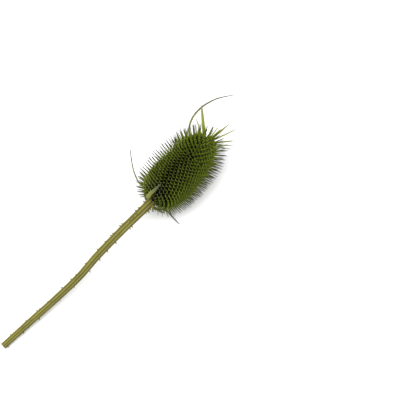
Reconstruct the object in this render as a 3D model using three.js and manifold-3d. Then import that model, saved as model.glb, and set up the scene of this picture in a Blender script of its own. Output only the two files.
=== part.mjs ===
// Teasel seed head, cut with its stem and lying down. Millimetres, +Z up, the floor at Z = 0.
// The head points along +X and the stem trails along -X. The origin is on the floor, under the
// middle of the whole outline.

import * as THREE from "three";
import { mergeVertices } from "three/addons/utils/BufferGeometryUtils.js";
import Module from "manifold-3d";

const wasm = await Module();
wasm.setup();

// Where the stem meets the head, and how the head's axis rises and turns left from there
const JOINT = new THREE.Vector3(20.8, -7.2, 16.6);
const PITCH = THREE.MathUtils.degToRad(5.7);
const YAW = THREE.MathUtils.degToRad(2.5);
const GAP = 0.3;

// Head: the outline of its solid core as [distance along the axis, radius]
const CORE_OUTLINE = [
  [0.15, 3.3], [2.2, 6.6], [6, 10.2], [13, 12.2], [25, 12.6], [36, 11.9], [44, 10.2], [50, 7.4], [54.5, 3.4],
];
const CORE_RINGS = 13;
const CORE_SIDES = 22;
const CORE_CROWN = 1;

// Scales: each ends in a stiff spine. They grow in opposite pairs, each pair turned on from the last,
// so that they stand in slanting rows. Where the head narrows to its crown they turn by half the
// golden angle
const SCALE_COUNT = 560;
const PAIR_TURN = THREE.MathUtils.degToRad(74.34);
const CROWN_START = 38;
const CROWN_TURN = THREE.MathUtils.degToRad(68.754);
const SCALE_WIDTH = 1.9;
const SCALE_DEPTH = 0.95;
const SCALE_SINK = 1.2;
// Reach of a spine beyond the core, as [distance along the axis, length]
const SPINE_REACH = [[0, 7.6], [12, 9.6], [32, 10.4], [42, 11.5], [50, 12.5], [55, 13]];
const SPINE_SPREAD = 0.08;
const LEAN_BACK = 0.34;
const LEAN_FRONT = 0.1;
const LEAN_LENGTH = 20;

// Crest: long narrow scales that rise from the crown, as [tip along, tip left, tip up, width]. At
// its root a blade is wider than that by the factor of its foot
const CREST_ROOT = new THREE.Vector3(53, -1.5, 4.3);
const CREST = [
  [70.8, 16.7, 13.6, 2.2], [73.4, -6.1, 10.1, 1.5], [67.7, -4.4, 11, 1], [68.1, -2.4, 12, 0.9],
  [75.1, -12.1, 7.9, 1.1], [61.9, 14.4, 12, 1], [69, -15.4, 2.6, 0.9], [65.6, -16.3, 0.9, 0.9],
  [64, -15.4, -4.9, 0.9], [71.8, -2.9, -1.2, 1.1], [67.8, 4.9, -4.6, 1.1], [70, -10.5, -8.6, 1],
  [69.1, 1.4, -11.2, 1],
];
const CREST_DEPTH = 1;
const CREST_FOOT = 1.4;
const CREST_SINK = 2;
const UP = new THREE.Vector3(0, 0, 1);

// Stem: its centre line from the joint to the cut, as [along, left, height above the floor]
const STEM_LINE = [
  [-GAP / 2, 0, 16.6], [-26, 0.3, 14.2], [-51, 0, 11.4], [-72, -1.3, 8.9], [-96, -0.4, 6],
  [-116, 0.9, 3.9], [-137, 1.8, 2.3],
];
const STEM_RIBS = 8;
const STEM_STEPS = 26;
const STEM_RADIUS_HEAD = 3.1;
const STEM_RADIUS_CUT = 2.25;
const STEM_FLARE = 0.5;
const STEM_FLARE_LENGTH = 5;
const GROOVE = 0.86;
const PRICKLE_COUNT = 72;
const PRICKLE_LENGTH_HEAD = 2;
const PRICKLE_LENGTH_CUT = 1.1;
const PRICKLE_WIDTH = 1;
const PRICKLE_SINK = 0.9;
const PRICKLE_LEAN = 0.35;
const PRICKLE_CROWDING = 1.25;

// Bracts under the head: name, the angle at which each leaves the stem (0 is left, 90 is up), the
// width at its foot, how long it keeps that width, and its line as [along, left, height above the floor]
const BRACT_STEP = 4.5;
const BRACT_DEPTH_FOOT = 1.1;
const BRACT_DEPTH_TIP = 0.6;
const BRACT_WIDTH_TIP = 0.6;
const BRACTS = [
  ["bract_top", 80, 3.1, 2.4, [
    [-2.4, 0.9, 21.4], [-2.6, 1.5, 25.2], [-0.6, 0.7, 29.4], [3.5, -0.4, 33.2], [8.2, -1.5, 36.8],
  ]],
  ["bract_left", 350, 2.1, 2.5, [
    [-2.2, 4.4, 15.6], [-0.6, 7, 13.4], [2.4, 10.2, 11.4], [4.3, 13.8, 10], [4.4, 17.9, 9],
    [6.1, 23.1, 9], [8.9, 28.7, 11], [12, 33.1, 14.6], [14.9, 36.5, 20],
  ]],
  ["bract_arching", 315, 2, 3.8, [
    [-2.2, 3.2, 13.2], [-0.8, 4.6, 10.6], [2.4, 7.4, 7.4], [5.6, 11.2, 4.8], [10.7, 14.7, 3.2],
    [25.9, 17.2, 2.8], [42.2, 18.5, 3.8], [56.4, 21.9, 6], [65.2, 26.3, 8.6], [74.4, 26.7, 12],
    [85.2, 22.3, 17], [95.5, 13.4, 22],
  ]],
  ["bract_right", 205, 1.7, 1.2, [
    [-2.2, -4, 14.6], [-0.2, -5.8, 11.6], [2.7, -7.6, 8.4], [4.6, -9.8, 5.2], [5.1, -12.8, 2.2],
    [5.2, -15.9, 0], [4.9, -20.9, 0],
  ]],
  ["bract_under_right", 262, 1.9, 1.2, [
    [-2.2, -0.7, 12.2], [-1.6, -2.4, 8.8], [1.6, -4.8, 4.8], [8, -7.2, 2.2], [18, -8.6, 1.2],
    [32, -9.6, 1.8],
  ]],
  ["bract_under_left", 285, 1.5, 1.2, [
    [-2.2, 1.2, 12.4], [-2.6, 1.8, 9.4], [-1.6, 3, 6.4], [1.2, 4.6, 4],
  ]],
  ["bract_reflexed", 135, 1.4, 1.2, [
    [-2.4, -3.1, 19.6], [-4.6, -5, 21.4], [-6.4, -7.6, 22.2],
  ]],
  ["bract_side", 180, 1.6, 1.2, [
    [-2.2, -4.5, 16.4], [-1.9, -6.6, 14.8], [-0.6, -8.6, 12.6], [1.2, -10.2, 10.2],
  ]],
];
const NEEDLE_CLEARANCE = 0.55;

// Colours and finish of the dry plant
const STEM_FINISH = { color: 0x84803f, roughness: 0.75, metalness: 0 };
const HEAD_FINISH = { color: 0x4f5f26, roughness: 0.7, metalness: 0 };
const BRACT_FINISH = { color: 0x77793d, roughness: 0.7, metalness: 0 };

// A repeatable stream of numbers from 0 to 1
function seededNumbers(seed) {
  let state = seed;
  return () => {
    state = (Math.imul(state, 1664525) + 1013904223) >>> 0;
    return state / 4294967296;
  };
}

// Value of a stepwise linear table at x
function along(table, x) {
  for (let i = 1; i < table.length; i += 1) {
    const [x0, y0] = table[i - 1];
    const [x1, y1] = table[i];
    if (x <= x1) return THREE.MathUtils.mapLinear(Math.max(x, x0), x0, x1, y0, y1);
  }
  return table[table.length - 1][1];
}

function geometryOf(corners, triangles) {
  const geometry = new THREE.BufferGeometry();
  const numbers = corners.flatMap((corner) => corner.toArray());
  geometry.setAttribute("position", new THREE.Float32BufferAttribute(numbers, 3));
  geometry.setIndex(triangles.flat());
  return geometry;
}

function toSolid(geometry) {
  const bare = geometry.clone();
  bare.deleteAttribute("normal");
  bare.deleteAttribute("uv");
  const merged = mergeVertices(bare, 1e-4);
  return new wasm.Manifold(new wasm.Mesh({
    numProp: 3,
    vertProperties: new Float32Array(merged.attributes.position.array),
    triVerts: new Uint32Array(merged.index.array),
  }));
}

function toGeometry(solid) {
  const mesh = solid.getMesh();
  const geometry = new THREE.BufferGeometry();
  geometry.setAttribute("position", new THREE.BufferAttribute(new Float32Array(mesh.vertProperties), 3));
  geometry.setIndex(new THREE.BufferAttribute(new Uint32Array(mesh.triVerts), 1));
  return geometry;
}

// A three-sided needle: two corners of its foot lie across it and the third is its keel
function needle(root, direction, across, length, width, depth, sink) {
  const keel = new THREE.Vector3().crossVectors(direction, across).normalize();
  const side = new THREE.Vector3().crossVectors(keel, direction).normalize();
  const foot = root.clone().addScaledVector(direction, -sink);
  const corners = [
    foot.clone().addScaledVector(side, width / 2).addScaledVector(keel, -depth / 3),
    foot.clone().addScaledVector(keel, depth * 2 / 3),
    foot.clone().addScaledVector(side, -width / 2).addScaledVector(keel, -depth / 3),
    root.clone().addScaledVector(direction, length),
  ];
  return geometryOf(corners, [[0, 1, 3], [1, 2, 3], [2, 0, 3], [0, 2, 1]]);
}

// A closed body through rings of corners, capped at both ends
function skinned(rings) {
  const sides = rings[0].length;
  const corners = rings.flat();
  const triangles = [];
  for (let i = 0; i + 1 < rings.length; i += 1) {
    for (let j = 0; j < sides; j += 1) {
      const a = i * sides + j;
      const b = i * sides + (j + 1) % sides;
      triangles.push([a, b, b + sides], [a, b + sides, a + sides]);
    }
  }
  const last = (rings.length - 1) * sides;
  for (let j = 1; j + 1 < sides; j += 1) {
    triangles.push([0, j + 1, j], [last, last + j, last + j + 1]);
  }
  return geometryOf(corners, triangles);
}

// Directions of travel along a chain of points
function travel(points) {
  return points.map((point, i) => {
    const before = points[Math.max(i - 1, 0)];
    const after = points[Math.min(i + 1, points.length - 1)];
    return new THREE.Vector3().subVectors(after, before).normalize();
  });
}

function curveThrough(places) {
  const points = places.map((place) => new THREE.Vector3(...place));
  return new THREE.CatmullRomCurve3(points, false, "centripetal");
}

// Bract: a narrow keeled blade, flat on the side that faces out or down, tapering to its tip
function bractLine(places, step) {
  const curve = curveThrough(places);
  const points = curve.getSpacedPoints(Math.ceil(curve.getLength() / step));
  return points.map((point) => point.setZ(Math.max(point.z, 0)));
}

function bractGeometry([, angle, width, fullness, places]) {
  const line = bractLine(places, BRACT_STEP);
  const turn = THREE.MathUtils.degToRad(angle);
  const across = new THREE.Vector3(0, -Math.sin(turn), Math.cos(turn));
  const liesOnFloor = line[line.length - 1].z === 0;
  if (liesOnFloor) across.set(1, 0, 0);
  const tangents = travel(line);
  const rings = line.map((point, i) => {
    const t = i / (line.length - 1);
    const inward = new THREE.Vector3().crossVectors(tangents[i], across).normalize();
    const side = new THREE.Vector3().crossVectors(inward, tangents[i]).normalize();
    if (liesOnFloor) side.setZ(0);
    const half = THREE.MathUtils.lerp(width, BRACT_WIDTH_TIP, t ** fullness) / 2;
    const depth = THREE.MathUtils.lerp(BRACT_DEPTH_FOOT, BRACT_DEPTH_TIP, t);
    return [
      point.clone().addScaledVector(side, -half),
      point.clone().addScaledVector(side, half),
      point.clone().addScaledVector(inward, depth),
    ].map((corner) => corner.setZ(Math.max(corner.z, 0)));
  });
  return skinned(rings);
}

// Stem: a ribbed rod with a prickle here and there on its ribs
function stemRadius(distance, length) {
  const flare = STEM_FLARE * Math.max(0, 1 - distance / STEM_FLARE_LENGTH);
  return THREE.MathUtils.lerp(STEM_RADIUS_HEAD, STEM_RADIUS_CUT, distance / length) + flare;
}

function ribDirection(tangent, angle) {
  const right = new THREE.Vector3(0, -1, 0);
  const up = new THREE.Vector3().crossVectors(tangent, right).normalize();
  right.crossVectors(up, tangent).normalize();
  return right.multiplyScalar(Math.cos(angle)).addScaledVector(up, Math.sin(angle));
}

function stemGeometry() {
  const line = curveThrough(STEM_LINE).getSpacedPoints(STEM_STEPS);
  const tangents = travel(line);
  const length = STEM_LINE[0][0] - STEM_LINE[STEM_LINE.length - 1][0];
  const rings = line.map((point, i) => {
    const radius = stemRadius(STEM_LINE[0][0] - point.x, length);
    return Array.from({ length: 2 * STEM_RIBS }, (unused, j) => {
      const reach = radius * (j % 2 === 0 ? 1 : GROOVE);
      return point.clone().addScaledVector(ribDirection(tangents[i], j * Math.PI / STEM_RIBS), reach);
    });
  });
  const solids = [toSolid(skinned(rings))];
  const random = seededNumbers(41);
  const curve = curveThrough(STEM_LINE);
  for (let k = 0; k < PRICKLE_COUNT; k += 1) {
    const t = ((k + 0.3 + 0.4 * random()) / PRICKLE_COUNT) ** PRICKLE_CROWDING;
    const point = curve.getPointAt(THREE.MathUtils.clamp(t, 0.03, 0.985));
    const tangent = curve.getTangentAt(THREE.MathUtils.clamp(t, 0.03, 0.985));
    const rib = Math.floor(random() * STEM_RIBS);
    const outward = ribDirection(tangent, rib * 2 * Math.PI / STEM_RIBS);
    const radius = stemRadius(STEM_LINE[0][0] - point.x, length);
    const reach = THREE.MathUtils.lerp(PRICKLE_LENGTH_HEAD, PRICKLE_LENGTH_CUT, t) * (0.75 + 0.5 * random());
    const root = point.clone().addScaledVector(outward, radius);
    const direction = outward.clone().addScaledVector(tangent, PRICKLE_LEAN).normalize();
    const across = new THREE.Vector3().crossVectors(tangent, outward);
    if (root.z + direction.z * reach > GAP) {
      const foot = [PRICKLE_WIDTH, PRICKLE_WIDTH, PRICKLE_SINK];
      solids.push(toSolid(needle(root, direction, across, reach, ...foot)));
    }
  }
  return toGeometry(wasm.Manifold.union(solids));
}

// Head: outline of the core as a smooth curve of radius against distance along the axis
const coreCurve = new THREE.SplineCurve(
  CORE_OUTLINE.map(([distance, radius]) => new THREE.Vector2(radius, distance)),
);

function coreGeometry() {
  const outline = coreCurve.getSpacedPoints(CORE_RINGS);
  const foot = new THREE.Vector2(0, outline[0].y);
  const crown = new THREE.Vector2(0, outline[CORE_RINGS].y + CORE_CROWN);
  return new THREE.LatheGeometry([foot, ...outline, crown], CORE_SIDES).rotateZ(-Math.PI / 2);
}

// Places of the scales on the core, evenly by area, each with its outward direction in the outline
function scalePlaces() {
  const fine = 600;
  const points = coreCurve.getSpacedPoints(fine);
  const areas = [0];
  for (let i = 1; i <= fine; i += 1) {
    areas.push(areas[i - 1] + (points[i].x + points[i - 1].x) * points[i].distanceTo(points[i - 1]));
  }
  const places = [];
  let pairTurn = 0;
  for (let k = 0, i = 1; k < SCALE_COUNT; k += 1) {
    const area = (k + 0.5) / SCALE_COUNT * areas[fine];
    while (areas[i] < area) i += 1;
    const slope = points[i].clone().sub(points[i - 1]).normalize();
    const turn = (k % 2) * Math.PI - pairTurn;
    places.push({ distance: points[i].y, radius: points[i].x, outX: -slope.x, outR: slope.y, turn });
    if (k % 2 === 1) pairTurn += points[i].y < CROWN_START ? PAIR_TURN : CROWN_TURN;
  }
  return places;
}

// The head's own frame, with X along its axis, set at the joint
const headFrame = new THREE.Object3D();
headFrame.position.set(0, 0, JOINT.z);
headFrame.rotation.set(0, -PITCH, YAW, "ZYX");
headFrame.updateMatrixWorld(true);
const toHead = headFrame.matrixWorld.clone().invert();

// Places in the head's frame that the bracts take up, each with the room it needs
const bractRoom = BRACTS.flatMap(([, , width, , places]) => {
  const line = bractLine(places, NEEDLE_CLEARANCE);
  return line.map((point, i) => ({
    point: point.setZ(point.z + BRACT_DEPTH_FOOT / 2).applyMatrix4(toHead),
    room: THREE.MathUtils.lerp(width, BRACT_WIDTH_TIP, i / line.length) / 2 + NEEDLE_CLEARANCE,
  }));
});

function clearOfBracts(root, tip, width) {
  const spine = new THREE.Line3(root, tip);
  const nearest = new THREE.Vector3();
  return bractRoom.every(({ point, room }) => {
    const t = spine.closestPointToPointParameter(point, true);
    return spine.at(t, nearest).distanceTo(point) > room + width / 2 * (1 - t);
  });
}

// Length that a spine may have before its tip would pass through the floor
function lengthAboveFloor(root, direction, length) {
  const height = root.clone().applyMatrix4(headFrame.matrixWorld).z;
  const fall = -direction.clone().transformDirection(headFrame.matrixWorld).z;
  return fall * length > height ? height / fall : length;
}

function headGeometry() {
  const random = seededNumbers(7);
  const solids = [toSolid(coreGeometry())];
  for (const { distance, radius, outX, outR, turn } of scalePlaces()) {
    const outward = new THREE.Vector3(0, Math.cos(turn), Math.sin(turn));
    const across = new THREE.Vector3(0, -Math.sin(turn), Math.cos(turn));
    const root = outward.clone().multiplyScalar(radius).setX(distance);
    const lean = THREE.MathUtils.lerp(LEAN_BACK, LEAN_FRONT, Math.min(distance / LEAN_LENGTH, 1));
    const direction = outward.clone().multiplyScalar(outR).setX(outX + lean);
    direction.addScaledVector(across, SPINE_SPREAD * (random() - 0.5)).normalize();
    const wanted = along(SPINE_REACH, distance) * (1 + 2 * SPINE_SPREAD * (random() - 0.5));
    const length = lengthAboveFloor(root, direction, wanted);
    const tip = root.clone().addScaledVector(direction, length);
    if (clearOfBracts(root, tip, SCALE_WIDTH)) {
      solids.push(toSolid(needle(root, direction, across, length, SCALE_WIDTH, SCALE_DEPTH, SCALE_SINK)));
    }
  }
  for (const [x, left, up, width] of CREST) {
    const direction = new THREE.Vector3(x, left, up).sub(CREST_ROOT);
    const length = direction.length();
    direction.normalize();
    const across = new THREE.Vector3().crossVectors(direction, UP).normalize();
    const foot = [CREST_FOOT * width, CREST_FOOT * CREST_DEPTH];
    solids.push(toSolid(needle(CREST_ROOT, direction, across, length, ...foot, CREST_SINK)));
  }
  return toGeometry(wasm.Manifold.union(solids));
}

// The whole: stem, head and bracts, each a piece of its own, set at the joint
function piece(name, geometry, finish) {
  const mesh = new THREE.Mesh(geometry, new THREE.MeshStandardMaterial(finish));
  mesh.name = name;
  return mesh;
}

const teasel = new THREE.Group();
teasel.position.set(JOINT.x, JOINT.y, 0);
teasel.add(piece("stem", stemGeometry(), STEM_FINISH));

const head = piece("seed_head", headGeometry(), HEAD_FINISH);
head.position.copy(headFrame.position);
head.rotation.copy(headFrame.rotation);
teasel.add(head);

for (const bract of BRACTS) {
  teasel.add(piece(bract[0], bractGeometry(bract), BRACT_FINISH));
}

export default teasel;
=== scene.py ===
import math
import random

import bpy
import numpy as np
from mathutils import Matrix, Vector


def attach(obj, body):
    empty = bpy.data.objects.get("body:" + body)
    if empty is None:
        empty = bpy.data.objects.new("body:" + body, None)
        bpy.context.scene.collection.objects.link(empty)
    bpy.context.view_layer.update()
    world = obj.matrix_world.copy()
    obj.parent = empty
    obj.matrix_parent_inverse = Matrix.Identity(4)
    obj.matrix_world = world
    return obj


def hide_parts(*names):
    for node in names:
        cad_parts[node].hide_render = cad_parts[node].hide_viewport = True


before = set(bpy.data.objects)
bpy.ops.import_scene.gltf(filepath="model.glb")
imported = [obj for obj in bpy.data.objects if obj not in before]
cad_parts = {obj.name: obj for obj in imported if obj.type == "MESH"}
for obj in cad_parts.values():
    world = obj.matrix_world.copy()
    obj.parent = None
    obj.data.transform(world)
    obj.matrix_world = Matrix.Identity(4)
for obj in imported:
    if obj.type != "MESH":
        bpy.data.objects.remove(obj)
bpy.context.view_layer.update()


# The view. The camera stands over the head and looks down on it from beside the stem, so that the
# stem runs to the lower left corner and the head points to the upper right. The two meet at the
# joint.
MM = 0.001
JOINT = np.array([20.8, -7.2, 16.6])
BELOW_JOINT = JOINT * [1, 1, 0]
VIEW_AZIMUTH = math.radians(-45.6)
VIEW_ELEVATION = math.radians(70)
VIEW_PIXELS = 400
VIEW_PIXELS_PER_MM = 1.47
JOINT_PIXEL = (152, 201)
LENS = 85
SENSOR = 36
CLIP_NEAR = 0.01
CLIP_FAR = 20

view_back = Vector((
    math.sin(VIEW_AZIMUTH) * math.cos(VIEW_ELEVATION),
    -math.cos(VIEW_AZIMUTH) * math.cos(VIEW_ELEVATION),
    math.sin(VIEW_ELEVATION),
))
view_turn = (-view_back).to_track_quat("-Z", "Y")
view_right = view_turn @ Vector((1, 0, 0))
view_up = view_turn @ Vector((0, 1, 0))
view_distance = LENS / SENSOR * VIEW_PIXELS / VIEW_PIXELS_PER_MM

camera = bpy.data.objects.new("camera", bpy.data.cameras.new("camera"))
camera.data.lens = LENS
camera.data.sensor_width = SENSOR
camera.data.clip_start = CLIP_NEAR
camera.data.clip_end = CLIP_FAR
camera.rotation_mode = "QUATERNION"
camera.rotation_quaternion = view_turn
camera.location = MM * (
    Vector(JOINT)
    + view_back * view_distance
    + view_right * (VIEW_PIXELS / 2 - JOINT_PIXEL[0]) / VIEW_PIXELS_PER_MM
    - view_up * (VIEW_PIXELS / 2 - JOINT_PIXEL[1]) / VIEW_PIXELS_PER_MM
)
bpy.context.scene.collection.objects.link(camera)
bpy.context.scene.camera = camera
bpy.context.scene.view_settings.view_transform = "Standard"


# The studio. A pale matt floor, a wide soft light overhead, a weaker one from each side, and a
# pale surround that fills the shadows.
FLOOR_HALF = 1500
FLOOR_WHITE = 0.86
FLOOR_ROUGHNESS = 0.9
FLOOR_SINK = 0.05
LIGHTS = {
    "overhead_light": ((-90, 90, 900), 1000, 15),
    "right_light": ((620, -420, 420), 420, 2.2),
    "left_light": ((-520, 480, 420), 420, 2.2),
}
SURROUND = 0.36


class Tone:
    """A socket of a material's nodes. Sums, differences and products of tones add Math nodes."""

    def __init__(self, tree, socket=None):
        self.tree = tree
        self.socket = socket

    def node(self, kind, settings=None, sockets=None, output=0):
        made = self.tree.nodes.new(kind)
        for name, value in (settings or {}).items():
            if name == "stops":
                while len(made.color_ramp.elements) < len(value):
                    made.color_ramp.elements.new(1)
                for element, (position, colour) in zip(made.color_ramp.elements, value):
                    element.position = position
                    element.color = colour
            else:
                setattr(made, name, value)
        for name, value in (sockets or {}).items():
            if isinstance(value, Tone):
                self.tree.links.new(value.socket, made.inputs[name])
            else:
                made.inputs[name].default_value = value
        return Tone(self.tree, made.outputs[output] if made.outputs else None)

    def maths(self, operation, first, second):
        return self.node("ShaderNodeMath", {"operation": operation}, {0: first, 1: second})

    def __add__(self, other):
        return self.maths("ADD", self, other)

    def __radd__(self, other):
        return self.maths("ADD", other, self)

    def __sub__(self, other):
        return self.maths("SUBTRACT", self, other)

    def __rsub__(self, other):
        return self.maths("SUBTRACT", other, self)

    def __mul__(self, other):
        return self.maths("MULTIPLY", self, other)

    def __rmul__(self, other):
        return self.maths("MULTIPLY", other, self)


def srgb(red, green, blue):
    """A colour given as it shows on a screen, from 0 to 255, in Blender's linear values."""
    parts = [c / 255 for c in (red, green, blue)]
    return (*(c / 12.92 if c < 0.04045 else ((c + 0.055) / 1.055) ** 2.4 for c in parts), 1)


def new_finish(name):
    finish = bpy.data.materials.new(name)
    finish.use_nodes = True
    finish.node_tree.nodes.clear()
    return finish, Tone(finish.node_tree)


def set_surface(tone, sockets):
    shader = tone.node("ShaderNodeBsdfPrincipled", sockets=sockets, output="BSDF")
    tone.node("ShaderNodeOutputMaterial", sockets={"Surface": shader})


def make_piece(name, points, faces, finish, marks=None):
    """A mesh object from points in mm. marks are named values for each point, for its finish."""
    mesh = bpy.data.meshes.new(name)
    mesh.from_pydata((np.asarray(points) * MM).tolist(), [], faces)
    mesh.materials.append(finish)
    for mark, values in (marks or {}).items():
        values = np.asarray(values, np.float32)
        kind, field = ("FLOAT", "value") if values.ndim == 1 else ("FLOAT_VECTOR", "vector")
        mesh.attributes.new(mark, kind, "POINT").data.foreach_set(field, values.ravel())
    mesh.polygons.foreach_set("use_smooth", [True] * len(mesh.polygons))
    mesh.update()
    piece = bpy.data.objects.new(name, mesh)
    bpy.context.scene.collection.objects.link(piece)
    return piece


floor_finish, tone = new_finish("pale_floor")
set_surface(tone, {
    "Base Color": (FLOOR_WHITE, FLOOR_WHITE, FLOOR_WHITE, 1), "Roughness": FLOOR_ROUGHNESS,
})
floor_corners = [(-1, -1), (1, -1), (1, 1), (-1, 1)]
floor = make_piece(
    "floor", [(FLOOR_HALF * x, FLOOR_HALF * y, -FLOOR_SINK) for x, y in floor_corners],
    [(0, 1, 2, 3)], floor_finish,
)

for light_name, (place, size, power) in LIGHTS.items():
    light = bpy.data.objects.new(light_name, bpy.data.lights.new(light_name, "AREA"))
    light.data.size = size * MM
    light.data.energy = power
    light.location = Vector(place) * MM
    light.rotation_mode = "QUATERNION"
    light.rotation_quaternion = (-Vector(place)).to_track_quat("-Z", "Y")
    bpy.context.scene.collection.objects.link(light)

surround = bpy.data.worlds.new("surround")
surround.use_nodes = True
surround.node_tree.nodes["Background"].inputs["Color"].default_value = (1, 1, 1, 1)
surround.node_tree.nodes["Background"].inputs["Strength"].default_value = SURROUND
bpy.context.scene.world = surround


# The receptacle. The solid heart of the head, an egg of dark dry pith that the scales grow from.
# It shows only at the bottom of the holes between them, coloured near black there as painted shade.
PITCH = math.radians(5.7)
YAW = math.radians(2.5)
HEAD_AXES = np.array([
    [math.cos(YAW) * math.cos(PITCH), -math.sin(YAW), -math.cos(YAW) * math.sin(PITCH)],
    [math.sin(YAW) * math.cos(PITCH), math.cos(YAW), -math.sin(YAW) * math.sin(PITCH)],
    [math.sin(PITCH), 0, math.cos(PITCH)],
])
CORE_OUTLINE = np.array([
    [0.15, 3.3], [2.2, 6.6], [6, 10.2], [13, 12.2], [25, 12.6], [36, 11.9], [44, 10.2], [50, 7.4],
    [54.5, 3.4], [56, 0.4],
])
CURVE_POINTS = 40
CORE_STEP = 0.1
HEART_DEPTH = 3.2
HEART_FOOT_LENGTH = 6
HEART_FOOT_SHARE = 0.1
HEART_RADIUS_LEAST = 0.5
HEART_LENGTH_SHARE = 0.96
HEART_SIDES = 64
HEART_RINGS = 48


def head_to_part(points):
    """Points of the head's own frame, X along its axis from the joint, in the part's frame."""
    return np.asarray(points, float) @ HEAD_AXES.T + JOINT


def part_to_head(points):
    return (np.asarray(points, float) - JOINT) @ HEAD_AXES


def smooth_line(places, step):
    """Evenly spaced points on the smooth curve through the places."""
    places = np.asarray(places, float)
    chain = np.vstack([2 * places[0] - places[1], places, 2 * places[-1] - places[-2]])
    knots = np.cumsum(np.r_[0, np.sqrt(np.linalg.norm(np.diff(chain, axis=0), axis=1))])
    fine = []
    for i in range(1, len(chain) - 2):
        t0, t1, t2, t3 = knots[i - 1:i + 3]
        p0, p1, p2, p3 = chain[i - 1:i + 3]
        t = np.linspace(t1, t2, CURVE_POINTS, endpoint=i == len(chain) - 3)[:, None]
        a1 = (t1 - t) / (t1 - t0) * p0 + (t - t0) / (t1 - t0) * p1
        a2 = (t2 - t) / (t2 - t1) * p1 + (t - t1) / (t2 - t1) * p2
        a3 = (t3 - t) / (t3 - t2) * p2 + (t - t2) / (t3 - t2) * p3
        b1 = (t2 - t) / (t2 - t0) * a1 + (t - t0) / (t2 - t0) * a2
        b2 = (t3 - t) / (t3 - t1) * a2 + (t - t1) / (t3 - t1) * a3
        fine.append((t2 - t) / (t2 - t1) * b1 + (t - t1) / (t2 - t1) * b2)
    fine = np.vstack(fine)
    reach = np.r_[0, np.cumsum(np.linalg.norm(np.diff(fine, axis=0), axis=1))]
    even = np.linspace(0, reach[-1], max(int(math.ceil(reach[-1] / step)), 2) + 1)
    return np.stack([np.interp(even, reach, column) for column in fine.T], -1)


def ring_faces(rings, sides):
    """Faces of a closed body through rings of corners, with a flat cap at each end."""
    faces = []
    for i in range(rings - 1):
        for j in range(sides):
            a = i * sides + j
            b = i * sides + (j + 1) % sides
            faces.append((a, b, b + sides, a + sides))
    faces.append(tuple(range(sides))[::-1])
    faces.append(tuple(range((rings - 1) * sides, rings * sides)))
    return faces


core_line = smooth_line(CORE_OUTLINE, CORE_STEP)
heart_line = smooth_line(CORE_OUTLINE, CORE_OUTLINE[-1, 0] / HEART_RINGS)
heart_sink = HEART_DEPTH * np.clip(heart_line[:, 0] / HEART_FOOT_LENGTH, HEART_FOOT_SHARE, 1)
heart_radius = np.maximum(heart_line[:, 1] - heart_sink, HEART_RADIUS_LEAST)
turns = np.linspace(0, 2 * math.pi, HEART_SIDES, endpoint=False)
heart_points = np.stack([
    np.repeat(heart_line[:, :1] * HEART_LENGTH_SHARE, HEART_SIDES, 1),
    heart_radius[:, None] * np.cos(turns),
    heart_radius[:, None] * np.sin(turns),
], -1)

heart_finish, tone = new_finish("dark_pith_painted_shade")
speckle = tone.node("ShaderNodeTexNoise", sockets={"Scale": 900, "Detail": 3})
# Near black: the pith's own dark, taken further as painted shade at the bottom of the holes.
pith_shade_colour = tone.node("ShaderNodeValToRGB", {
    "stops": [(0.3, srgb(10, 9, 4)), (0.7, srgb(26, 22, 10))],
}, {"Fac": speckle})
set_surface(tone, {"Base Color": pith_shade_colour, "Roughness": 0.9})
heart = make_piece(
    "head_receptacle", head_to_part(heart_points).reshape(-1, 3),
    ring_faces(len(heart_line), HEART_SIDES), heart_finish,
)
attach(heart, "root")
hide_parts("seed_head")


# The bracts' lines. Eight stiff narrow leaves leave the stem just under the head, and the scales
# make room for them. Each has its angle round the stem (0 is left, 90 is up), its foot's width, how
# long it keeps that, and its line from the joint as along, left and height above the floor.
BRACTS = {
    "bract_top": (80, 3.1, 2.4, [
        (-2.4, 0.9, 21.4), (-2.6, 1.5, 25.2), (-0.6, 0.7, 29.4), (3.5, -0.4, 33.2), (8.2, -1.5, 36.8),
    ]),
    "bract_left": (350, 2.1, 2.5, [
        (-2.2, 4.4, 15.6), (-0.6, 7, 13.4), (2.4, 10.2, 11.4), (4.3, 13.8, 10), (4.4, 17.9, 9),
        (6.1, 23.1, 9), (8.9, 28.7, 11), (12, 33.1, 14.6), (14.9, 36.5, 20),
    ]),
    "bract_arching": (315, 2, 3.8, [
        (-2.2, 3.2, 13.2), (-0.8, 4.6, 10.6), (2.4, 7.4, 7.4), (5.6, 11.2, 4.8), (10.7, 14.7, 3.2),
        (25.9, 17.2, 2.8), (42.2, 18.5, 3.8), (56.4, 21.9, 6), (65.2, 26.3, 8.6), (74.4, 26.7, 12),
        (85.2, 22.3, 17), (95.5, 13.4, 22),
    ]),
    "bract_right": (205, 1.7, 1.2, [
        (-2.2, -4, 14.6), (-0.2, -5.8, 11.6), (2.7, -7.6, 8.4), (4.6, -9.8, 5.2), (5.1, -12.8, 2.2),
        (5.2, -15.9, 0), (4.9, -20.9, 0),
    ]),
    "bract_under_right": (262, 1.9, 1.2, [
        (-2.2, -0.7, 12.2), (-1.6, -2.4, 8.8), (1.6, -4.8, 4.8), (8, -7.2, 2.2), (18, -8.6, 1.2),
        (32, -9.6, 1.8),
    ]),
    "bract_under_left": (285, 1.5, 1.2, [
        (-2.2, 1.2, 12.4), (-2.6, 1.8, 9.4), (-1.6, 3, 6.4), (1.2, 4.6, 4),
    ]),
    "bract_reflexed": (135, 1.4, 1.2, [
        (-2.4, -3.1, 19.6), (-4.6, -5, 21.4), (-6.4, -7.6, 22.2),
    ]),
    "bract_side": (180, 1.6, 1.2, [
        (-2.2, -4.5, 16.4), (-1.9, -6.6, 14.8), (-0.6, -8.6, 12.6), (1.2, -10.2, 10.2),
    ]),
}
BRACT_STEP = 0.8
BRACT_DEPTH_FOOT = 1.1
BRACT_DEPTH_TIP = 0.6
BRACT_WIDTH_TIP = 0.6


def bract_line(places, step):
    line = smooth_line(places, step)
    line[:, 2] = np.maximum(line[:, 2], 0)
    return line + BELOW_JOINT


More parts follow.
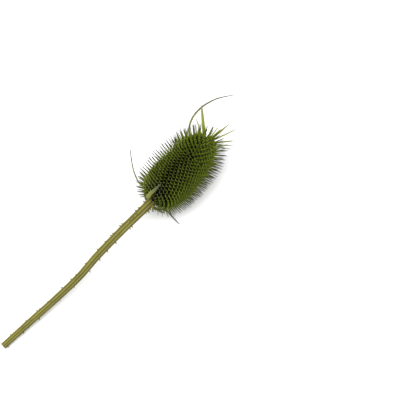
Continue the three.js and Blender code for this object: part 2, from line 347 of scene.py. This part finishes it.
bract_room = []
for angle, width, fullness, places in BRACTS.values():
    line = bract_line(places, BRACT_STEP)
    room = np.linspace(width / 2, BRACT_WIDTH_TIP / 2, len(line))
    bract_room.append(np.column_stack([part_to_head(line + [0, 0, BRACT_DEPTH_FOOT / 2]), room]))
bract_room = np.vstack(bract_room)


# The scales. Nearly nine hundred stiff chaffy leaves, each a keeled boat at its foot and a spine at
# its end. They grow from the receptacle in opposite pairs, each turned on from the last, so that
# their rims meet in 34 rows one way and 24 the other. At the crown they turn by half the golden angle.
SCALE_SEED = 7
SCALE_COUNT = 880
PAIR_TURN = math.radians(74.34)
CROWN_START = 38
CROWN_TURN = math.radians(68.754)
BOAT_STATIONS = np.array([0, 0.4, 0.75, 0.93, 1])
AWN_STATIONS = np.array([0.05, 0.12, 0.35, 0.72, 1])
SCALE_HALF_WIDTH = np.array([0.8, 1.1, 1.26, 1.32, 1.22, 0.38, 0.27, 0.2, 0.13, 0.04])
SCALE_THICKNESS = np.array([0.3, 0.26, 0.22, 0.2, 0.2, 0.26, 0.28, 0.24, 0.18, 0.06])
SCALE_MARKS = np.concatenate([0.5 * BOAT_STATIONS, 0.5 + 0.5 * AWN_STATIONS])
SCALE_SECTION = np.array([
    (-1, 0), (-0.5, 0), (0, -0.25), (0.5, 0), (1, 0), (0.78, 1), (0, 1), (-0.78, 1),
])
# Painted shade on each corner of the section: darkest on the hollow inner side.
SCALE_PAINTED_SHADE_IN_HOLLOW = np.array([0, 0, 0, 0, 0, 0.6, 1, 0.6])
SCALE_BACK = np.array([0.6, 1, 1, 1, 0.6, 0, 0, 0])
SCALE_RIM = np.array([1, 0.3, 0.5, 0.3, 1, 1, 0, 1])
SCALE_FOLD = 0.95
FOLD_POWER = 1.2
SCALE_SKEW = math.radians(13)
SCALE_SHARP_ANGLE = math.radians(50)
SINK_AT_FOOT = 0.2
SPINE_ROOM = 0.6
BLUNTED = 0.6
BLUNTED_SPINE = 1.2
FLOOR_LIFT = 0.02
CROWN_GLOW = np.array([[0, 0], [34, 0], [50, 0.3]])
BOAT_REACH = np.array([[0, 1.4], [6, 2.6], [13, 3.3], [26, 3.3], [36, 2.7], [46, 3.4], [55, 5]])
SPINE_REACH = np.array([[0, 7.6], [12, 9.6], [32, 10.4], [42, 11.5], [50, 12.5], [55, 13]])
SPINE_SPREAD = 0.08
CROWN_BREADTH = np.array([[0, 1], [34, 1], [46, 1.6], [55, 1.8]])
LEAN_BACK = 0.34
LEAN_FRONT = 0.1
LEAN_LENGTH = 20
SCALE_BEND = 0.5
BEND_LEAST = 0.3
BRACT_CLEARANCE = 0.25


def unit(vectors):
    vectors = np.asarray(vectors, float)
    return vectors / np.linalg.norm(vectors, axis=-1, keepdims=True)


def scale_rings(root, direction, across, places, half_widths, thickness, fold, bend):
    """Rings of corners of one scale: a thin folded leaf that keeps its fold as it narrows."""
    keel = unit(np.cross(direction, across))
    side = np.cross(keel, direction)
    bow = bend * (places / places[-1]) ** 2
    middle = root + np.outer(places, direction) + np.outer(bow - fold / 2, keel)
    wide = np.outer(half_widths, SCALE_SECTION[:, 0])
    deep = fold * np.abs(wide) ** FOLD_POWER + np.outer(thickness, SCALE_SECTION[:, 1])
    return middle[:, None] + wide[..., None] * side + deep[..., None] * keel


def scale_places(count):
    """Places evenly by area: distance, radius, the core's normal across and along its axis, turn."""
    step = np.diff(core_line, axis=0)
    areas = np.r_[0, np.cumsum((core_line[1:, 1] + core_line[:-1, 1]) * np.hypot(*step.T))]
    wanted = (np.arange(count) + 0.5) / count * areas[-1]
    index = np.searchsorted(areas, wanted)
    slope = unit(step[index - 1])
    pair_turns = np.where(core_line[index[1::2], 0] < CROWN_START, PAIR_TURN, CROWN_TURN)
    turn = np.arange(count) % 2 * math.pi - np.repeat(np.cumsum(pair_turns) - pair_turns, 2)
    return np.column_stack([core_line[index], slope[:, 0], -slope[:, 1], turn])


def clear_of_bracts(root, tip, half_width):
    """True where a spine from root to tip passes no bract too closely."""
    way = tip - root
    t = np.clip((bract_room[:, :3] - root) @ way / (way @ way), 0, 1)
    gaps = np.linalg.norm(root + t[:, None] * way - bract_room[:, :3], axis=1)
    return bool(np.all(gaps > bract_room[:, 3] + half_width * (1 - t) + BRACT_CLEARANCE))


def above_floor(points):
    """The same points of the head's frame, with those under the floor lifted onto it."""
    placed = head_to_part(points)
    placed[..., 2] = np.maximum(placed[..., 2], FLOOR_LIFT)
    return placed


draw = random.Random(SCALE_SEED)
scale_corners, scale_reach, scale_tint = [], [], []
for distance, radius, out_r, out_x, turn in scale_places(SCALE_COUNT):
    outward = np.array([0, math.cos(turn), math.sin(turn)])
    across = np.array([0, -math.sin(turn), math.cos(turn)])
    lean = np.interp(distance, [0, LEAN_LENGTH], [LEAN_BACK, LEAN_FRONT])
    direction = out_r * outward + [out_x + lean, 0, 0]
    direction = unit(direction + SPINE_SPREAD * (draw.random() - 0.5) * across)
    across = math.cos(SCALE_SKEW) * across - [math.sin(SCALE_SKEW), 0, 0]
    reach = np.interp(distance, *SPINE_REACH.T) * (1 + 2 * SPINE_SPREAD * (draw.random() - 0.5))
    sunk = HEART_DEPTH * min(distance / HEART_FOOT_LENGTH + SINK_AT_FOOT, 1)
    root = radius * outward + [distance, 0, 0] - sunk * direction
    boat = sunk + np.interp(distance, *BOAT_REACH.T)
    tint = draw.random() + np.interp(distance, *CROWN_GLOW.T)
    bow = SCALE_BEND * (draw.random() + BEND_LEAST)
    foot = root + sunk * direction
    if not clear_of_bracts(foot, root + (reach + sunk) * direction, SPINE_ROOM):
        boat = sunk + (boat - sunk) * BLUNTED
        reach = (boat - sunk) * BLUNTED_SPINE
        if not clear_of_bracts(foot, root + (reach + sunk) * direction, SPINE_ROOM):
            continue
    places = np.concatenate([boat * BOAT_STATIONS, boat + (reach + sunk - boat) * AWN_STATIONS])
    half_widths = SCALE_HALF_WIDTH.copy()
    half_widths[len(BOAT_STATIONS):] *= np.interp(distance, *CROWN_BREADTH.T)
    rings = scale_rings(
        root, direction, across, places, half_widths, SCALE_THICKNESS, SCALE_FOLD, bow,
    )
    scale_corners.append(above_floor(rings).reshape(-1, 3))
    scale_reach.append(np.repeat(SCALE_MARKS, len(SCALE_SECTION)))
    scale_tint.append(np.full(rings.shape[0] * rings.shape[1], tint))

one_scale = np.array(ring_faces(len(SCALE_MARKS), len(SCALE_SECTION))[:-2])
caps = ring_faces(len(SCALE_MARKS), len(SCALE_SECTION))[-2:]
corner_count = len(SCALE_MARKS) * len(SCALE_SECTION)
scale_faces = []
for k in range(len(scale_corners)):
    scale_faces.extend((one_scale + k * corner_count).tolist())
    scale_faces.extend([tuple(c + k * corner_count for c in cap) for cap in caps])


# The chaff by reach. Near black over the sunken boat, up to 0.47, is painted shade deep among the
# scales; the green sides and grey-green spines above are its own colour.
SCALE_STOPS_WITH_PAINTED_FOOT_SHADE = [
    (0.1, srgb(2, 2, 0)), (0.47, srgb(4, 5, 0)), (0.5, srgb(44, 56, 0)), (0.59, srgb(92, 110, 0)),
    (0.7, srgb(84, 96, 6)), (0.8, srgb(60, 62, 26)), (0.95, srgb(50, 48, 36)),
]
# Pale rim at the top of each boat's edges: partly the chaff's dry margin, partly painted highlight.
SCALE_RIM_AND_HIGHLIGHT_COLOUR = srgb(174, 186, 94)
SCALE_SPREAD = 0.5
BACK_COLOUR = srgb(54, 70, 0)
BACK_STOPS = [
    (0.34, (0, 0, 0, 1)), (0.45, (1, 1, 1, 1)), (0.5, (1, 1, 1, 1)), (0.55, (0, 0, 0, 1)),
]
RIM_AND_HIGHLIGHT_STOPS = [
    (0.465, (0, 0, 0, 1)), (0.495, (1, 1, 1, 1)), (0.51, (0.6, 0.6, 0.6, 1)), (0.55, (0, 0, 0, 1)),
]
TINT_SHIFT = 0.08
MOTTLE_SHIFT = 0.16
FIBRE_SHADE = 0.35
HOLLOW_PAINTED_SHADE = 0.8


def scale_finish(name, stops, rim_and_highlight_colour, spread):
    """Chaff: green along its sides, near black at its foot and in its hollow as painted shade, with a
    pale rim, part dry margin and part painted highlight.
    """
    finish, tone = new_finish(name)
    reach = tone.node("ShaderNodeAttribute", {"attribute_name": "reach"}, output="Fac")
    tint = tone.node("ShaderNodeAttribute", {"attribute_name": "tint"}, output="Fac")
    hollow = tone.node("ShaderNodeAttribute", {"attribute_name": "hollow"}, output="Fac")
    rim = tone.node("ShaderNodeAttribute", {"attribute_name": "rim"}, output="Fac")
    back = tone.node("ShaderNodeAttribute", {"attribute_name": "back"}, output="Fac")
    place = tone.node("ShaderNodeTexCoord", output="Object")
    mottle = tone.node("ShaderNodeTexNoise", sockets={"Vector": place, "Scale": 160, "Detail": 2})
    fibre = tone.node("ShaderNodeTexNoise", sockets={"Vector": place, "Scale": 1900, "Detail": 2})
    level = reach + (tint - 0.5) * TINT_SHIFT + (mottle - 0.5) * MOTTLE_SHIFT
    colour = tone.node("ShaderNodeValToRGB", {"stops": stops}, {"Fac": level})
    backed = back * tone.node("ShaderNodeValToRGB", {"stops": BACK_STOPS}, {"Fac": reach})
    colour = tone.node(
        "ShaderNodeMix", {"data_type": "RGBA"},
        {"Factor": backed, 6: colour, 7: BACK_COLOUR}, output=2,
    )
    shade = 1 - spread / 2 + tint * spread + (fibre - 0.5) * FIBRE_SHADE
    # Darker in the hollow of each boat: painted shade.
    shade = shade * (1 - hollow * HOLLOW_PAINTED_SHADE)
    grey = tone.node("ShaderNodeCombineColor", sockets={0: shade, 1: shade, 2: shade})
    toned = tone.node(
        "ShaderNodeMix", {"data_type": "RGBA", "blend_type": "MULTIPLY"},
        {"Factor": 1.0, 6: colour, 7: grey}, output=2,
    )
    # The pale rim along the edges: partly the dry margin, partly painted highlight.
    edge = rim * tone.node("ShaderNodeValToRGB", {"stops": RIM_AND_HIGHLIGHT_STOPS}, {"Fac": reach})
    edged = tone.node(
        "ShaderNodeMix", {"data_type": "RGBA"}, {"Factor": edge, 6: toned, 7: rim_and_highlight_colour}, output=2,
    )
    bump = tone.node("ShaderNodeBump", sockets={"Height": fibre, "Strength": 0.3, "Distance": 0.0002})
    set_surface(tone, {
        "Base Color": edged, "Roughness": 0.55 + 0.2 * fibre, "Specular IOR Level": 0.08, "Normal": bump,
    })
    return finish


scales = make_piece(
    "head_scales", np.vstack(scale_corners), scale_faces,
    scale_finish("green_chaff", SCALE_STOPS_WITH_PAINTED_FOOT_SHADE, SCALE_RIM_AND_HIGHLIGHT_COLOUR, SCALE_SPREAD),
    {
        "reach": np.concatenate(scale_reach),
        "tint": np.concatenate(scale_tint),
        "hollow": np.tile(SCALE_PAINTED_SHADE_IN_HOLLOW, len(SCALE_MARKS) * len(scale_corners)),
        "back": np.tile(SCALE_BACK, len(SCALE_MARKS) * len(scale_corners)),
        "rim": np.tile(SCALE_RIM, len(SCALE_MARKS) * len(scale_corners)),
    },
)
scales.data.set_sharp_from_angle(angle=SCALE_SHARP_ANGLE)
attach(scales, "root")
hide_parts("seed_head")


# The crest. At the crown the scales grow into long narrow blades, paler than the rest, that stand
# in a loose tuft over the tip.
CREST_ROOT = np.array([53.0, -1.5, 4.3])
CREST = [
    (70.8, 16.7, 13.6, 2.2), (73.4, -6.1, 10.1, 1.5), (67.7, -4.4, 11, 1), (68.1, -2.4, 12, 0.9),
    (75.1, -12.1, 7.9, 1.1), (61.9, 14.4, 12, 1), (69, -15.4, 2.6, 0.9), (65.6, -16.3, 0.9, 0.9),
    (64, -15.4, -4.9, 0.9), (71.8, -2.9, -1.2, 1.1), (67.8, 4.9, -4.6, 1.1), (70, -10.5, -8.6, 1),
    (69.1, 1.4, -11.2, 1),
]
CREST_STATIONS = np.array([-0.1, 0.2, 0.36, 0.5, 0.62, 0.74, 0.84, 0.92, 0.97, 1])
CREST_FOLD = 0.5
CREST_THICKNESS = 0.4
CREST_BEND = 0.8
CREST_WIDTHS = np.array([0.8, 1, 1, 1, 0.95, 0.85, 0.7, 0.5, 0.3, 0.08])

crest_corners = []
for *tip, width in CREST:
    way = np.array(tip) - CREST_ROOT
    across = unit(np.cross(way, [0, 0, 1]))
    rings = scale_rings(
        CREST_ROOT, unit(way), across, np.linalg.norm(way) * CREST_STATIONS,
        CREST_WIDTHS * width / 2, CREST_WIDTHS * CREST_THICKNESS, CREST_FOLD,
        CREST_BEND * (draw.random() - 0.5),
    )
    crest_corners.append(above_floor(rings).reshape(-1, 3))
crest_faces = [
    tuple(c + k * corner_count for c in face)
    for k in range(len(CREST))
    for face in ring_faces(len(CREST_STATIONS), len(SCALE_SECTION))
]
# The crest's pale rim, as on the scales, is partly its margin and partly painted highlight.
CREST_RIM_AND_HIGHLIGHT_COLOUR = srgb(128, 138, 78)
CREST_SPREAD = 0.3
CREST_STOPS = [
    (0.2, srgb(62, 74, 4)), (0.45, srgb(110, 120, 30)), (0.7, srgb(124, 130, 64)),
    (1, srgb(112, 112, 82)),
]
crest = make_piece(
    "head_crest", np.vstack(crest_corners), crest_faces,
    scale_finish("pale_chaff", CREST_STOPS, CREST_RIM_AND_HIGHLIGHT_COLOUR, CREST_SPREAD),
    {
        "reach": np.tile(np.repeat(CREST_STATIONS, len(SCALE_SECTION)), len(CREST)),
        "tint": np.repeat([draw.random() for k in CREST], corner_count),
        "hollow": np.zeros(len(CREST) * corner_count),
        "back": np.zeros(len(CREST) * corner_count),
        "rim": np.tile(SCALE_RIM, len(CREST_STATIONS) * len(CREST)),
    },
)
crest.data.set_sharp_from_angle(angle=SCALE_SHARP_ANGLE)
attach(crest, "root")
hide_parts("seed_head")


# The bracts. Tough grooved leaves with a raised midrib on the outer side and small prickles along
# it, tapering to a thread. Each stands for its CAD node.
BRACT_SECTION = np.array([
    (-1, 0.06), (-0.55, -0.02), (-0.16, 0), (0, -0.12), (0.16, 0), (0.55, -0.02), (1, 0.06),
    (0.6, 0.34), (0.22, 0.72), (0, 1), (-0.22, 0.72), (-0.6, 0.34),
])
BRACT_THORN_STEP = 2.8
BRACT_THORN_LENGTH = 1.1
BRACT_THORN_SIZE = 0.5
BRACT_THORN_LEAN = 0.5
BRACT_THORN_FROM = 0.1
BRACT_THORN_TO = 0.78
BRACT_THORN_TAPER = 0.5
BRACT_THORN_SHORTEST = 0.7
BRACT_THORN_VARIETY = 0.6
BRACT_THORN_EDGE = 0.9
BRACT_THORN_SINK = 0.05
BRACT_THORN_FLOOR_GAP = 0.05
BRACT_GRAIN_ALONG = 0.05
BRACT_GRAIN_ACROSS = 1.6
BRACT_THORN_GRAIN = 0.3
BRACT_REACH_SHARE = 0.8
BRACT_STREAK_SHIFT = 0.5
BRACT_TINT_SHIFT = 0.2
BRACT_SHARP_ANGLE = math.radians(60)
THORN_SIDES = 8
THORN_STATIONS = np.array([-0.35, 0, 0.18, 0.4, 0.65, 0.85, 1])
THORN_RADII = np.array([0.56, 0.5, 0.36, 0.24, 0.14, 0.08, 0.03])
THORN_HOOK = 0.3
THORN_FOOT_LENGTH = 1.5
thorn_ring = np.linspace(0, 2 * math.pi, THORN_SIDES, endpoint=False)
thorn_faces = ring_faces(len(THORN_STATIONS), THORN_SIDES)


def travel(line):
    return unit(np.gradient(line, axis=0))


def thorn(root, direction, side, length, size):
    """Corners of one thorn: a long foot along the rib it stands on, hooked towards its tip."""
    lengthwise = np.cross(side, direction)
    middle = root + np.outer(THORN_STATIONS * length, direction)
    middle = middle + np.outer(THORN_HOOK * size * THORN_STATIONS ** 2, lengthwise)
    wide = (size * THORN_RADII[:, None] * np.cos(thorn_ring))[..., None] * side
    foot = size * THORN_FOOT_LENGTH * THORN_RADII[:, None] * np.sin(thorn_ring)
    long = foot[..., None] * -lengthwise
    return (middle[:, None] + wide + long).reshape(-1, 3)


def thorn_face_sets(first, count):
    """Faces of a number of thorns whose corners start at a given place in their mesh."""
    step = len(THORN_STATIONS) * THORN_SIDES
    return [tuple(c + first + k * step for c in face) for k in range(count) for face in thorn_faces]


bract_finish, tone = new_finish("dry_bract")
reach = tone.node("ShaderNodeAttribute", {"attribute_name": "reach"}, output="Fac")
tint = tone.node("ShaderNodeAttribute", {"attribute_name": "tint"}, output="Fac")
grain = tone.node("ShaderNodeAttribute", {"attribute_name": "grain"}, output="Vector")
streaks = tone.node("ShaderNodeTexNoise", sockets={"Vector": grain, "Scale": 3.0, "Detail": 4})
bract_level = reach * BRACT_REACH_SHARE + (streaks - 0.5) * BRACT_STREAK_SHIFT
bract_level = bract_level + (tint - 0.5) * BRACT_TINT_SHIFT
bract_colour = tone.node("ShaderNodeValToRGB", {"stops": [
    (0, srgb(72, 80, 4)), (0.3, srgb(112, 114, 26)), (0.55, srgb(82, 86, 32)),
    (0.75, srgb(52, 54, 34)),
]}, {"Fac": bract_level})
bract_bump = tone.node(
    "ShaderNodeBump", sockets={"Height": streaks, "Strength": 0.4, "Distance": 0.0002},
)
set_surface(tone, {"Base Color": bract_colour, "Roughness": 0.5 + streaks * 0.25, "Normal": bract_bump})

for node, (angle, width, fullness, places) in BRACTS.items():
    line = bract_line(places, BRACT_STEP)
    count = len(line)
    t = np.linspace(0, 1, count)
    turn = math.radians(angle)
    across = np.array([0, -math.sin(turn), math.cos(turn)])
    lies_on_floor = line[-1, 2] == 0
    if lies_on_floor:
        across = np.array([1.0, 0, 0])
    tangents = travel(line)
    inward = unit(np.cross(tangents, across))
    side = np.cross(inward, tangents)
    if lies_on_floor:
        side[:, 2] = 0
    half = (width + (BRACT_WIDTH_TIP - width) * t ** fullness) / 2
    depth = BRACT_DEPTH_FOOT + (BRACT_DEPTH_TIP - BRACT_DEPTH_FOOT) * t
    corners = (
        line[:, None]
        + (half[:, None] * BRACT_SECTION[:, 0])[..., None] * side[:, None]
        + (depth[:, None] * BRACT_SECTION[:, 1])[..., None] * inward[:, None]
    )
    corners[..., 2] = np.maximum(corners[..., 2], 0)
    sides = len(BRACT_SECTION)
    grains = np.stack([
        np.repeat(t[:, None] * count * BRACT_STEP * BRACT_GRAIN_ALONG, sides, 1),
        np.tile(BRACT_SECTION[:, 0] * BRACT_GRAIN_ACROSS, (count, 1)),
        np.tile(BRACT_SECTION[:, 1] * BRACT_GRAIN_ACROSS, (count, 1)),
    ], -1)
    thorns, thorn_places = [], []
    spacing = BRACT_THORN_STEP / (count * BRACT_STEP)
    for k, place in enumerate(np.arange(BRACT_THORN_FROM, BRACT_THORN_TO, spacing)):
        i = int(place * (count - 1))
        edge = (-1, 0, 1)[k % 3]
        outward = edge * side[i] - (1 - abs(edge)) * inward[i]
        root = line[i] + edge * half[i] * BRACT_THORN_EDGE * side[i] + BRACT_THORN_SINK * inward[i]
        direction = unit(outward + BRACT_THORN_LEAN * tangents[i])
        length = BRACT_THORN_LENGTH * (1 - BRACT_THORN_TAPER * place)
        length *= BRACT_THORN_SHORTEST + BRACT_THORN_VARIETY * draw.random()
        across_rib = unit(np.cross(tangents[i], outward))
        made = thorn(root, direction, across_rib, length, BRACT_THORN_SIZE)
        if made[:, 2].min() > BRACT_THORN_FLOOR_GAP:
            thorns.append(made)
            thorn_places.append(np.full(len(made), place))
    bract = make_piece(
        node.replace("bract_", "") + "_bract",
        np.vstack([corners.reshape(-1, 3), *thorns]),
        ring_faces(count, sides) + thorn_face_sets(count * sides, len(thorns)),
        bract_finish,
        {
            "reach": np.concatenate([np.repeat(t, sides), *thorn_places]),
            "tint": np.full(count * sides + sum(map(len, thorns)), draw.random()),
            "grain": np.vstack([grains.reshape(-1, 3), *(made * BRACT_THORN_GRAIN for made in thorns)]),
        },
    )
    bract.data.set_sharp_from_angle(angle=BRACT_SHARP_ANGLE)
    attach(bract, "root")
    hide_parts(node)


# The stem. A stiff rod with eight rounded ribs and grooves between them, cut off square at its far
# end. It widens a little where the bracts leave it under the head.
STEM_LINE = [
    (-0.15, 0, 16.6), (-26, 0.3, 14.2), (-51, 0, 11.4), (-72, -1.3, 8.9), (-96, -0.4, 6),
    (-116, 0.9, 3.9), (-137, 1.8, 2.3),
]
STEM_RIBS = 8
STEM_SIDES = 64
STEM_STEP = 0.8
STEM_RADIUS_HEAD = 3.1
STEM_RADIUS_CUT = 2.25
STEM_FLARE = 0.5
STEM_FLARE_LENGTH = 5
GROOVE = 0.86
RIB_ROUNDNESS = 0.7
STEM_WOBBLE = 0.05
STEM_GRAIN_ALONG = 0.045
STEM_GRAIN_ACROSS = 2.6
STEM_SHARP_ANGLE = math.radians(60)
RIB_AND_GROOVE_SHADE_SHARE = 0.45
STREAK_SHARE = 0.4
BLOTCH_SHARE = 0.25
CUT_STREAK_SHIFT = 0.3
CUT_FACE = [(0.95, 0), (0.62, 0), (0.58, 0.35), (0.3, 0.45)]

stem_line = smooth_line(STEM_LINE, STEM_STEP)
stem_run = (STEM_LINE[0][0] - stem_line[:, 0]) / (STEM_LINE[0][0] - STEM_LINE[-1][0])
stem_length = STEM_LINE[0][0] - STEM_LINE[-1][0]


def stem_radius(run):
    flare = STEM_FLARE * np.maximum(0, 1 - run * stem_length / STEM_FLARE_LENGTH)
    return STEM_RADIUS_HEAD + (STEM_RADIUS_CUT - STEM_RADIUS_HEAD) * run + flare


stem_tangents = travel(stem_line)
stem_up = unit(np.cross(stem_tangents, [0, -1, 0]))
stem_right = np.cross(stem_up, stem_tangents)
stem_turns = np.linspace(0, 2 * math.pi, STEM_SIDES, endpoint=False)
rib_height = (0.5 + 0.5 * np.cos(STEM_RIBS * stem_turns)) ** RIB_ROUNDNESS
stem_wobble = np.array([
    [STEM_WOBBLE * math.sin(3 * a + 0.6 * i * 0.1) * math.sin(i * 0.13 + 2 * a) for a in stem_turns]
    for i in range(len(stem_line))
])
stem_radii = stem_radius(stem_run)[:, None] * (GROOVE + (1 - GROOVE) * rib_height) + stem_wobble
stem_points = (
    stem_line[:, None]
    + (stem_radii * np.cos(stem_turns))[..., None] * stem_right[:, None]
    + (stem_radii * np.sin(stem_turns))[..., None] * stem_up[:, None]
) + BELOW_JOINT
cut_middle = stem_line[-1] + BELOW_JOINT
cut_rings = [
    cut_middle + size * (stem_points[-1] - cut_middle) - sunk * stem_tangents[-1]
    for size, sunk in CUT_FACE
]
stem_points = np.concatenate([stem_points, cut_rings])
stem_points[..., 2] = np.maximum(stem_points[..., 2], FLOOR_LIFT)
cut_marks = np.r_[np.zeros(len(stem_line)), np.linspace(0.5, 1, len(CUT_FACE))]
stem_along = np.r_[stem_run, np.ones(len(CUT_FACE))]

stem_finish, tone = new_finish("ribbed_stem")
rib = tone.node("ShaderNodeAttribute", {"attribute_name": "rib"}, output="Fac")
grain = tone.node("ShaderNodeAttribute", {"attribute_name": "grain"}, output="Vector")
streaks = tone.node("ShaderNodeTexNoise", sockets={"Vector": grain, "Scale": 2.2, "Detail": 5})
blotches = tone.node("ShaderNodeTexNoise", sockets={"Vector": grain, "Scale": 0.7, "Detail": 2})
# Ribs lighter than the grooves between them: partly the ribs' own paler colour, partly painted shade in
# the grooves.
stem_level = rib * RIB_AND_GROOVE_SHADE_SHARE + streaks * STREAK_SHARE + blotches * BLOTCH_SHARE
stem_colour = tone.node("ShaderNodeValToRGB", {"stops": [
    (0.2, srgb(42, 38, 0)), (0.42, srgb(70, 64, 0)), (0.62, srgb(98, 92, 2)),
    (0.85, srgb(126, 123, 26)),
]}, {"Fac": stem_level})
pith = tone.node("ShaderNodeAttribute", {"attribute_name": "pith"}, output="Fac")
cut_colour = tone.node("ShaderNodeValToRGB", {"stops": [
    (0.5, srgb(128, 118, 66)), (0.66, srgb(150, 142, 92)), (0.84, srgb(176, 170, 130)),
]}, {"Fac": pith + (streaks - 0.5) * CUT_STREAK_SHIFT})
cut_edge = tone.node("ShaderNodeValToRGB", {
    "stops": [(0.2, (0, 0, 0, 1)), (0.45, (1, 1, 1, 1))],
}, {"Fac": pith})
stem_colour = tone.node(
    "ShaderNodeMix", {"data_type": "RGBA"},
    {"Factor": cut_edge, 6: stem_colour, 7: cut_colour}, output=2,
)
stem_bump = tone.node(
    "ShaderNodeBump", sockets={"Height": streaks, "Strength": 0.5, "Distance": 0.0003},
)
set_surface(tone, {"Base Color": stem_colour, "Roughness": 0.5 + streaks * 0.25, "Normal": stem_bump})

stem_grain = np.stack([
    np.repeat(stem_along[:, None] * stem_length * STEM_GRAIN_ALONG, STEM_SIDES, 1),
    np.tile(np.cos(stem_turns) * STEM_GRAIN_ACROSS, (len(stem_points), 1)),
    np.tile(np.sin(stem_turns) * STEM_GRAIN_ACROSS, (len(stem_points), 1)),
], -1)
stem = make_piece(
    "ribbed_stem", stem_points.reshape(-1, 3), ring_faces(len(stem_points), STEM_SIDES), stem_finish,
    {
        "rib": np.tile(rib_height, len(stem_points)),
        "pith": np.repeat(cut_marks, STEM_SIDES),
        "grain": stem_grain.reshape(-1, 3),
    },
)
stem.data.set_sharp_from_angle(angle=STEM_SHARP_ANGLE)
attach(stem, "root")
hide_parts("stem")


# The prickles. Short hooked thorns that stand on the ribs, closer and longer towards the head.
PRICKLE_SEED = 41
PRICKLE_COUNT = 72
PRICKLE_CROWDING = 1.25
PRICKLE_FIRST = 0.3
PRICKLE_SCATTER = 0.4
PRICKLE_FROM = 0.03
PRICKLE_TO = 0.985
PRICKLE_LENGTH_HEAD = 2
PRICKLE_LENGTH_CUT = 1.1
PRICKLE_SHORTEST = 0.75
PRICKLE_VARIETY = 0.5
PRICKLE_SIZE = 1
PRICKLE_SINK = 0.1
PRICKLE_LEAN = 0.35
PRICKLE_FLOOR_GAP = 0.3


class Draws:
    """A repeatable stream of numbers from 0 to 1."""

    FACTOR = 1664525
    INCREMENT = 1013904223
    RANGE = 2 ** 32

    def __init__(self, seed):
        self.state = seed

    def __call__(self):
        self.state = (self.state * self.FACTOR + self.INCREMENT) % self.RANGE
        return self.state / self.RANGE


prickle_draw = Draws(PRICKLE_SEED)
prickle_points = []
for k in range(PRICKLE_COUNT):
    run = ((k + PRICKLE_FIRST + PRICKLE_SCATTER * prickle_draw()) / PRICKLE_COUNT) ** PRICKLE_CROWDING
    place = min(max(run, PRICKLE_FROM), PRICKLE_TO) * (len(stem_line) - 1)
    i = min(int(place), len(stem_line) - 2)
    point = stem_line[i] + (stem_line[i + 1] - stem_line[i]) * (place - i)
    angle = math.floor(prickle_draw() * STEM_RIBS) * 2 * math.pi / STEM_RIBS
    outward = math.cos(angle) * stem_right[i] + math.sin(angle) * stem_up[i]
    length = PRICKLE_LENGTH_HEAD + (PRICKLE_LENGTH_CUT - PRICKLE_LENGTH_HEAD) * run
    length *= PRICKLE_SHORTEST + PRICKLE_VARIETY * prickle_draw()
    root = point + outward * (stem_radius(stem_run[i]) - PRICKLE_SINK)
    direction = unit(outward + PRICKLE_LEAN * stem_tangents[i])
    if root[2] + direction[2] * length < PRICKLE_FLOOR_GAP:
        continue
    side = unit(np.cross(stem_tangents[i], outward))
    prickle_points.append(thorn(root, direction, side, length, PRICKLE_SIZE) + BELOW_JOINT)
prickle_finish, tone = new_finish("prickle")
reach = tone.node("ShaderNodeAttribute", {"attribute_name": "reach"}, output="Fac")
prickle_colour = tone.node("ShaderNodeValToRGB", {"stops": [
    (0, srgb(92, 86, 20)), (0.5, srgb(104, 96, 44)), (1, srgb(76, 62, 34)),
]}, {"Fac": reach})
set_surface(tone, {"Base Color": prickle_colour, "Roughness": 0.5})
prickles = make_piece(
    "stem_prickles", np.vstack(prickle_points), thorn_face_sets(0, len(prickle_points)),
    prickle_finish,
    {"reach": np.tile(np.repeat(np.clip(THORN_STATIONS, 0, 1), THORN_SIDES), len(prickle_points))},
)
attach(prickles, "root")
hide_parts("stem")
